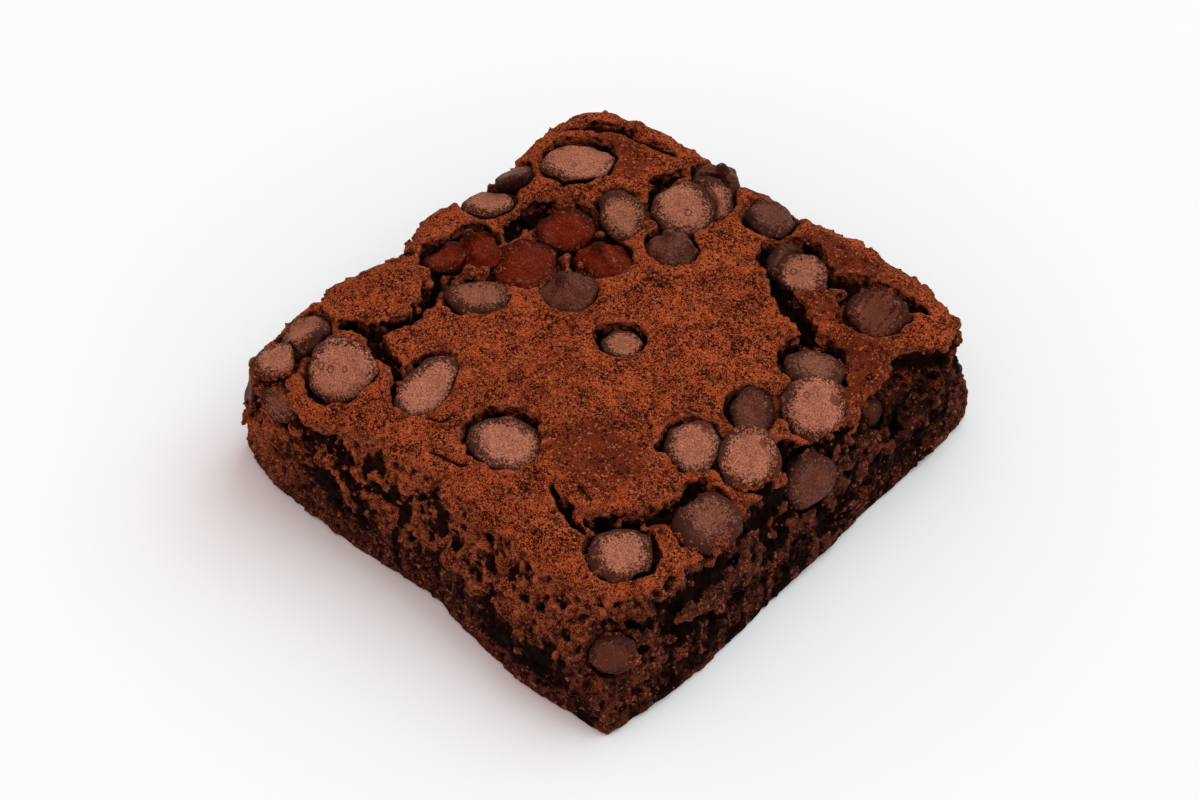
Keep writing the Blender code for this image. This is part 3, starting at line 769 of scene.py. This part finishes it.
for place, direction in zip(carriers, directions):
    size = SMALLEST + GROWTH * random.random() ** 4
    turn = Matrix.Rotation(random.random() * 6.28, 4, Vector(random.normal(size=3)))
    shape = turn @ Matrix.Diagonal((*(size * (0.7 + 0.6 * random.random(3))), 1))
    spot = Matrix.Translation(Vector(place + direction * size * SUNK))
    made = bmesh.ops.create_icosphere(bm, subdivisions=1, radius=1, matrix=spot @ shape)
    for vertex in made["verts"]:
        vertex.co += Vector(random.normal(size=3)) * size * JITTER
bmesh.ops.scale(bm, vec=(MM, MM, MM), verts=bm.verts)
crumbs = bpy.data.objects.new("loose_crumbs", bpy.data.meshes.new("loose_crumbs"))
bm.to_mesh(crumbs.data)
print("loose crumbs:", len(carriers), "triangles:", len(bm.faces))
bm.free()
bpy.context.scene.collection.objects.link(crumbs)
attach(crumbs, "root")

# %% [markdown]
# ## Writing materials as sums
#
# A material is a tree of nodes, and a long one is hard to read as nodes and links. The class Wire holds
# one socket and lets Python's own signs add Math nodes, so a mask can be written as 1 - grain * 0.5.
# Every other node comes from Finish.node, with its settings and the values or wires of its sockets.


# %% Shader helpers
class Wire:
    """An output socket that can be reckoned with."""

    def __init__(self, finish, socket):
        self.finish, self.socket = finish, socket

    def maths(self, operation, *values):
        """Add a Math node."""
        return self.finish.node("Math", {"operation": operation}, dict(enumerate(values)))

    def __add__(self, other):
        return self.maths("ADD", self, other)

    def __sub__(self, other):
        return self.maths("SUBTRACT", self, other)

    def __rsub__(self, other):
        return self.maths("SUBTRACT", other, self)

    def __mul__(self, other):
        return self.maths("MULTIPLY", self, other)

    __radd__, __rmul__ = __add__, __mul__

    def between(self, low, high):
        """Return 0 below low and 1 above high, with a smooth ramp; low may be above high."""
        return self.finish.node("MapRange", {"interpolation_type": "SMOOTHSTEP"},
                                {"Value": self, "From Min": low, "From Max": high})


class Finish:
    """A material whose nodes are written as expressions."""

    def __init__(self, name):
        self.material = bpy.data.materials.new(name)
        self.material.use_nodes = True
        self.tree = self.material.node_tree
        self.shader = self.tree.nodes["Principled BSDF"]
        self.place = self.node("TexCoord", {}, {}, "Object")

    def node(self, kind, settings, sockets, output=0):
        """Add a node with its settings, then the values or wires of its sockets."""
        node = self.tree.nodes.new("ShaderNode" + kind)
        for name, value in settings.items():
            setattr(node, name, value)
        for name, value in sockets.items():
            self.plug(node.inputs[name], value)
        return Wire(self, node.outputs[output])

    def plug(self, socket, value):
        """Link a wire to a socket, or set the socket's own value."""
        if isinstance(value, Wire):
            self.tree.links.new(value.socket, socket)
        elif isinstance(value, tuple) and len(value) == 3 and socket.type == "RGBA":
            socket.default_value = (*value, 1)
        else:
            socket.default_value = value

    def noise(self, size, detail, roughness, warp=0.0):
        """Return Noise from 0 to 1 with lumps of a size in millimetres."""
        return self.node("TexNoise", {}, {"Vector": self.place, "Scale": 1 / (size * MM), "Detail": detail,
                                          "Roughness": roughness, "Distortion": warp}, "Fac")

    def own_number(self, size):
        """Return one random number for each Voronoi cell of a size in millimetres."""
        sockets = {"Vector": self.place, "Scale": 1 / (size * MM)}
        colour = self.node("TexVoronoi", {}, sockets, "Color")
        return self.node("SeparateColor", {}, {"Color": colour}, "Red")

    def attribute(self, name):
        """Return a number kept on the mesh."""
        return self.node("Attribute", {"attribute_name": name}, {}, "Fac")

    def distance(self, flat, x, y):
        """Return the distance in plan from a point given in millimetres, in metres."""
        sockets = {0: flat, 1: (x * MM, y * MM, 0)}
        return self.node("VectorMath", {"operation": "DISTANCE"}, sockets, "Value")

    def mix(self, share, first, second):
        """Return a colour between two; 6, 7 and 2 are the colour sockets of a Mix node."""
        return self.node("Mix", {"data_type": "RGBA"}, {0: share, 6: first, 7: second}, 2)

    def bump(self, height, distance, strength, normal=None):
        """Return a normal bent by a height of a distance in millimetres."""
        sockets = {"Height": height, "Distance": distance * MM, "Strength": strength}
        if normal:
            sockets["Normal"] = normal
        return self.node("Bump", {}, sockets, "Normal")

    def surface(self, **values):
        """Set the Principled shader's sockets."""
        for name, value in values.items():
            self.plug(self.shader.inputs[name.replace("_", " ")], value)
        return self.material


# %% [markdown]
# ## The crust's colours
#
# Baked crust is dull and sandy, red-brown with tan specks and near-black pores that come in clusters,
# and finely crazed. The sand is three noises of unlike size, added, and it fades to a smoother brown
# where there is no dust.

# %% Crust colours
PORE = (0.012, 0.003, 0.0018)
SHADOW = (0.004, 0.0015, 0.001)

cake_finish = Finish("cake_crumb")
on_crust = cake_finish.attribute("crust")
sunk = cake_finish.attribute("hollow")
grain = cake_finish.noise(0.19, 2, 0.6)
fine_grain = cake_finish.noise(0.13, 1, 0.5)
middle_grain = cake_finish.noise(0.7, 2, 0.6)
patches = cake_finish.noise(3.0, 3, 0.6)

sandy = grain * 0.62 + fine_grain * 0.18 + middle_grain * 0.20 + (patches - 0.5) * 0.20
dust = cake_finish.attribute("dust")
rough_crust = cake_finish.mix(sandy.between(0.44, 0.570), (0.021, 0.0026, 0.0010), (0.46, 0.082, 0.0245))
smooth_crust = cake_finish.mix(sandy.between(0.38, 0.66), (0.060, 0.0085, 0.0036), (0.22, 0.036, 0.012))
crust_colour = cake_finish.mix(dust, smooth_crust, rough_crust)
tan = cake_finish.own_number(0.28).between(0.88, 0.95)
crust_colour = cake_finish.mix(tan * 0.6, crust_colour, (0.47, 0.14, 0.055))
clusters = cake_finish.noise(4.0, 2, 0.5).between(0.42, 0.66)
black = (cake_finish.own_number(0.33) + clusters * 0.22).between(0.92, 0.97)
crust_colour = cake_finish.mix(black * 0.85, crust_colour, PORE)
crazing = cake_finish.noise(2.6, 3, 0.65, 0.6)
crazing = crazing.between(0.480, 0.500) * crazing.between(0.520, 0.500) * clusters
crust_colour = cake_finish.mix(crazing * 0.8, crust_colour, PORE)
print("crust nodes:", len(cake_finish.tree.nodes))

# %% [markdown]
# ## The crumb's colours
#
# Fresh crumb is redder just below the crust and turns dark and moist towards the foot. Near-black
# clumps and a few pale specks of painted glint break it up.

# %% Crumb colours
moist = cake_finish.attribute("moist")
crumb_dark = cake_finish.mix(sandy.between(0.42, 0.62), (0.009, 0.0022, 0.0016), (0.150, 0.037, 0.021))
crumb_red = cake_finish.mix(sandy.between(0.42, 0.60), (0.026, 0.0045, 0.0026), (0.43, 0.094, 0.036))
crumb_colour = cake_finish.mix(moist, crumb_red, crumb_dark)
clumps = cake_finish.noise(1.0, 2, 0.6).between(0.50, 0.36)
crumb_colour = cake_finish.mix(clumps * 0.6, crumb_colour, (0.006, 0.0018, 0.0012))
# A few pale specks are painted glints; their roughness is lower too.
painted_glint = cake_finish.own_number(0.38).between(0.92, 0.97)
crumb_colour = cake_finish.mix(painted_glint * 0.5, crumb_colour, (0.36, 0.13, 0.06))
print("crust and crumb nodes:", len(cake_finish.tree.nodes))

# %% [markdown]
# ## The cake's finish
#
# One material does both, because crust and crumb pass into each other: it mixes the two by the share
# of crust that each point carries. What stands proud is paler, partly as dry crumb and partly as a
# painted highlight. What is hollow, deep in a crack or the cave, or beside a drop goes nearly black as
# painted shade, and two bumps add the finest grain.

# %% Cake material
colour = cake_finish.mix(on_crust, crumb_colour, crust_colour)
# What stands proud is paler: partly dry crumb, partly a painted highlight.
proud = (0 - sunk).between(0.1, 0.9)
dry_and_painted_highlight = proud * (0.40 - on_crust * 0.2) * (1 - moist * 0.6)
colour = cake_finish.mix(dry_and_painted_highlight, colour, (0.40, 0.100, 0.040))
toasted = cake_finish.attribute("toasted") * (0.35 + (grain + middle_grain).between(0.85, 1.15) * 0.6)
colour = cake_finish.mix(toasted, colour, (0.55, 0.19, 0.075))
# Painted shade: hollows, deep cracks, the cave and the crumb beside the drops go nearly black.
colour = cake_finish.mix(sunk.between(0.06, 0.70) * 0.88, colour, SHADOW)
deep = cake_finish.attribute("deep") + cake_finish.attribute("gap") * (1 - on_crust) * 0.6
colour = cake_finish.mix(deep.between(0.05, 0.75) * 0.95, colour, SHADOW)
rough = 0.88 - moist * 0.25 - painted_glint * 0.2
fine = cake_finish.bump(grain, 0.14, 0.9)
coarse = cake_finish.bump(cake_finish.noise(0.8, 2, 0.6), 0.16, 0.7, fine)
cake_material = cake_finish.surface(Base_Color=colour, Roughness=rough, Normal=coarse,
                                    Specular_IOR_Level=0.02)
for piece in (*cake_layers, crumbs):
    piece.data.materials.clear()
    piece.data.materials.append(cake_material)
print("cake nodes:", len(cake_finish.tree.nodes))

# %% [markdown]
# ## The chocolate's finishes
#
# Heat has drawn cocoa butter to the surface of most drops: their bases are a matte mauve-brown, called
# bloom, that breaks up into dark grains at the rim. A few melted and stayed glossy and reddish, and
# some are plain dark chocolate. One function makes them all, from two colours and a few shares. Small
# rings and smears on the pale drops are placed by x, y and radius in millimetres.

# %% Chocolate materials
RINGS = (
    (-25.4, -32.7, 0.42), (-24.1, -32.1, 0.4), (-22.5, -30.8, 0.36), (27.8, 12.1, 0.46),
    (29.3, 10.4, 0.38), (11.6, 28.1, 0.45), (-8.0, 26.7, 0.5), (-26.2, 21.1, 0.35),
)
SMEARS = ((22.9, -3.9, 0.9), (20.5, -3.8, 0.6), (30.6, -0.3, 0.7), (32.3, 13.3, 0.8))


def shade(colour, share):
    """Return a colour made darker or paler."""
    return tuple(share * c for c in colour)


def chocolate(name, pale, dark, rim_start, roughness, specular, ringed=False):
    """Return a chocolate finish that breaks up in dark grains towards the rim, with painted highlight
    specks.
    """
    finish = Finish(name)
    rim = finish.attribute("rim")
    grain = finish.noise(0.22, 2, 0.6)
    blot = finish.noise(1.6, 3, 0.6)
    body = finish.mix(grain.between(0.36, 0.64), shade(pale, 0.62), shade(pale, 1.30))
    body = finish.mix(blot.between(0.48, 0.75) * 0.45, body, shade(pale, 0.50))
    body = finish.mix(finish.own_number(0.20).between(0.62, 0.92) * 0.5, body, shade(pale, 0.35))
    bare = (1 - finish.attribute("bloom")) + (finish.noise(2.4, 2, 0.5) - 0.5) * 0.5
    body = finish.mix(bare.between(0.0, 1.0) * 0.9, body, (0.095, 0.022, 0.011))
    thin = finish.node("MapRange", {}, {"Value": rim + (blot - 0.5) * 0.3, "From Min": rim_start,
                                        "From Max": 1.08})
    stipple = thin * 1.35 - finish.own_number(0.22)
    colour = finish.mix(stipple.between(-0.25, 0.25) * 0.9, body, dark)
    # A few pale specks are painted highlights.
    painted_highlight_specks = finish.own_number(0.36).between(0.93, 0.97) * (0.3 + thin * 0.5)
    colour = finish.mix(painted_highlight_specks * 0.55, colour, (0.38, 0.14, 0.08))
    side = (rim - 1.0).between(0.0, 0.25)
    colour = finish.mix(side * 0.75, colour, shade(dark, 0.6))
    if ringed:
        flat = finish.node("VectorMath", {"operation": "MULTIPLY"}, {0: finish.place, 1: (1, 1, 0)})
        for x, y, radius in RINGS:
            away = finish.distance(flat, x, y) * (1 / (radius * MM))
            band = away.between(0.55, 0.9) * away.between(1.35, 1.0)
            colour = finish.mix(band * 0.8, colour, (0.07, 0.015, 0.008))
        for x, y, radius in SMEARS:
            away = finish.distance(flat, x, y) * (1 / (radius * MM))
            smear = (away + (blot - 0.5) * 2.5).between(1.0, 0.7)
            colour = finish.mix(smear * 0.7, colour, (0.11, 0.016, 0.007))
    bump = finish.bump(finish.noise(0.26, 2, 0.6), 0.09, 0.9)
    bump = finish.bump(finish.noise(1.1, 2, 0.5), 0.14, 0.5, bump)
    return finish.surface(Base_Color=colour, Roughness=roughness + thin * 0.1, Normal=bump,
                          Specular_IOR_Level=specular)


FINISHES = {
    "bloomed_chocolate": chocolate("bloomed_chocolate", (0.42, 0.146, 0.084), (0.030, 0.007, 0.004),
                                   0.50, 0.62, 0.05, True),
    "melted_chocolate": chocolate("melted_chocolate", (0.150, 0.014, 0.003), (0.03, 0.004, 0.002),
                                  0.52, 0.20, 0.03),
    "dark_chocolate": chocolate("dark_chocolate", (0.135, 0.037, 0.021), (0.030, 0.008, 0.005),
                                0.45, 0.50, 0.07),
    "crumbed_chocolate": chocolate("crumbed_chocolate", (0.22, 0.074, 0.042), (0.040, 0.010, 0.006),
                                   0.25, 0.65, 0.07),
}
for part in frame["record"]["subparts"]:
    if part["node"] in drops:
        piece = drops[part["node"]]
        piece.data.materials.clear()
        piece.data.materials.append(FINISHES[part["material_slot"]])
print("chocolate finishes:", len(FINISHES))

# %% [markdown]
# ## Floor and light
#
# The light is soft and comes from above and behind. A wide pale floor throws some of it back, an even
# and slightly warm world fills the shadows, and a broad, slightly cool sun stands behind on the right,
# so the soft shadow falls to the front and left.

# %% Floor and light
FLOOR_COLOUR = (0.92, 0.915, 0.915)
FILL_COLOUR = (1, 0.85, 0.825, 1)
SUN_COLOUR = (0.585, 0.844, 0.887)
TOWARDS_SUN = Vector((0.14, 0.57, 0.77))

bm = bmesh.new()
bmesh.ops.create_grid(bm, x_segments=1, y_segments=1, size=2.0)
floor = bpy.data.objects.new("floor", bpy.data.meshes.new("floor"))
bm.to_mesh(floor.data)
bm.free()
bpy.context.scene.collection.objects.link(floor)
paper = Finish("paper")
paper_material = paper.surface(Base_Color=FLOOR_COLOUR, Roughness=0.9, Specular_IOR_Level=0.1)
floor.data.materials.append(paper_material)
floor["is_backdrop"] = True

world = bpy.data.worlds.new("studio")
bpy.context.scene.world = world
world.use_nodes = True
background = world.node_tree.nodes["Background"]
background.inputs["Color"].default_value = FILL_COLOUR
background.inputs["Strength"].default_value = 0.82
lamp = bpy.data.lights.new("window", "SUN")
lamp.energy, lamp.angle, lamp.color = 1.72, math.radians(55), SUN_COLOUR
sun = bpy.data.objects.new("window", lamp)
sun.rotation_euler = TOWARDS_SUN.to_track_quat("Z", "Y").to_euler()
bpy.context.scene.collection.objects.link(sun)
bpy.context.scene.view_settings.view_transform = "Standard"
print("sun from", [round(v, 2) for v in TOWARDS_SUN], "energy", round(lamp.energy, 2))

# %% Sizes and finish
low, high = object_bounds()
print("visual box in mm:", [round(v / MM, 2) for v in high - low])
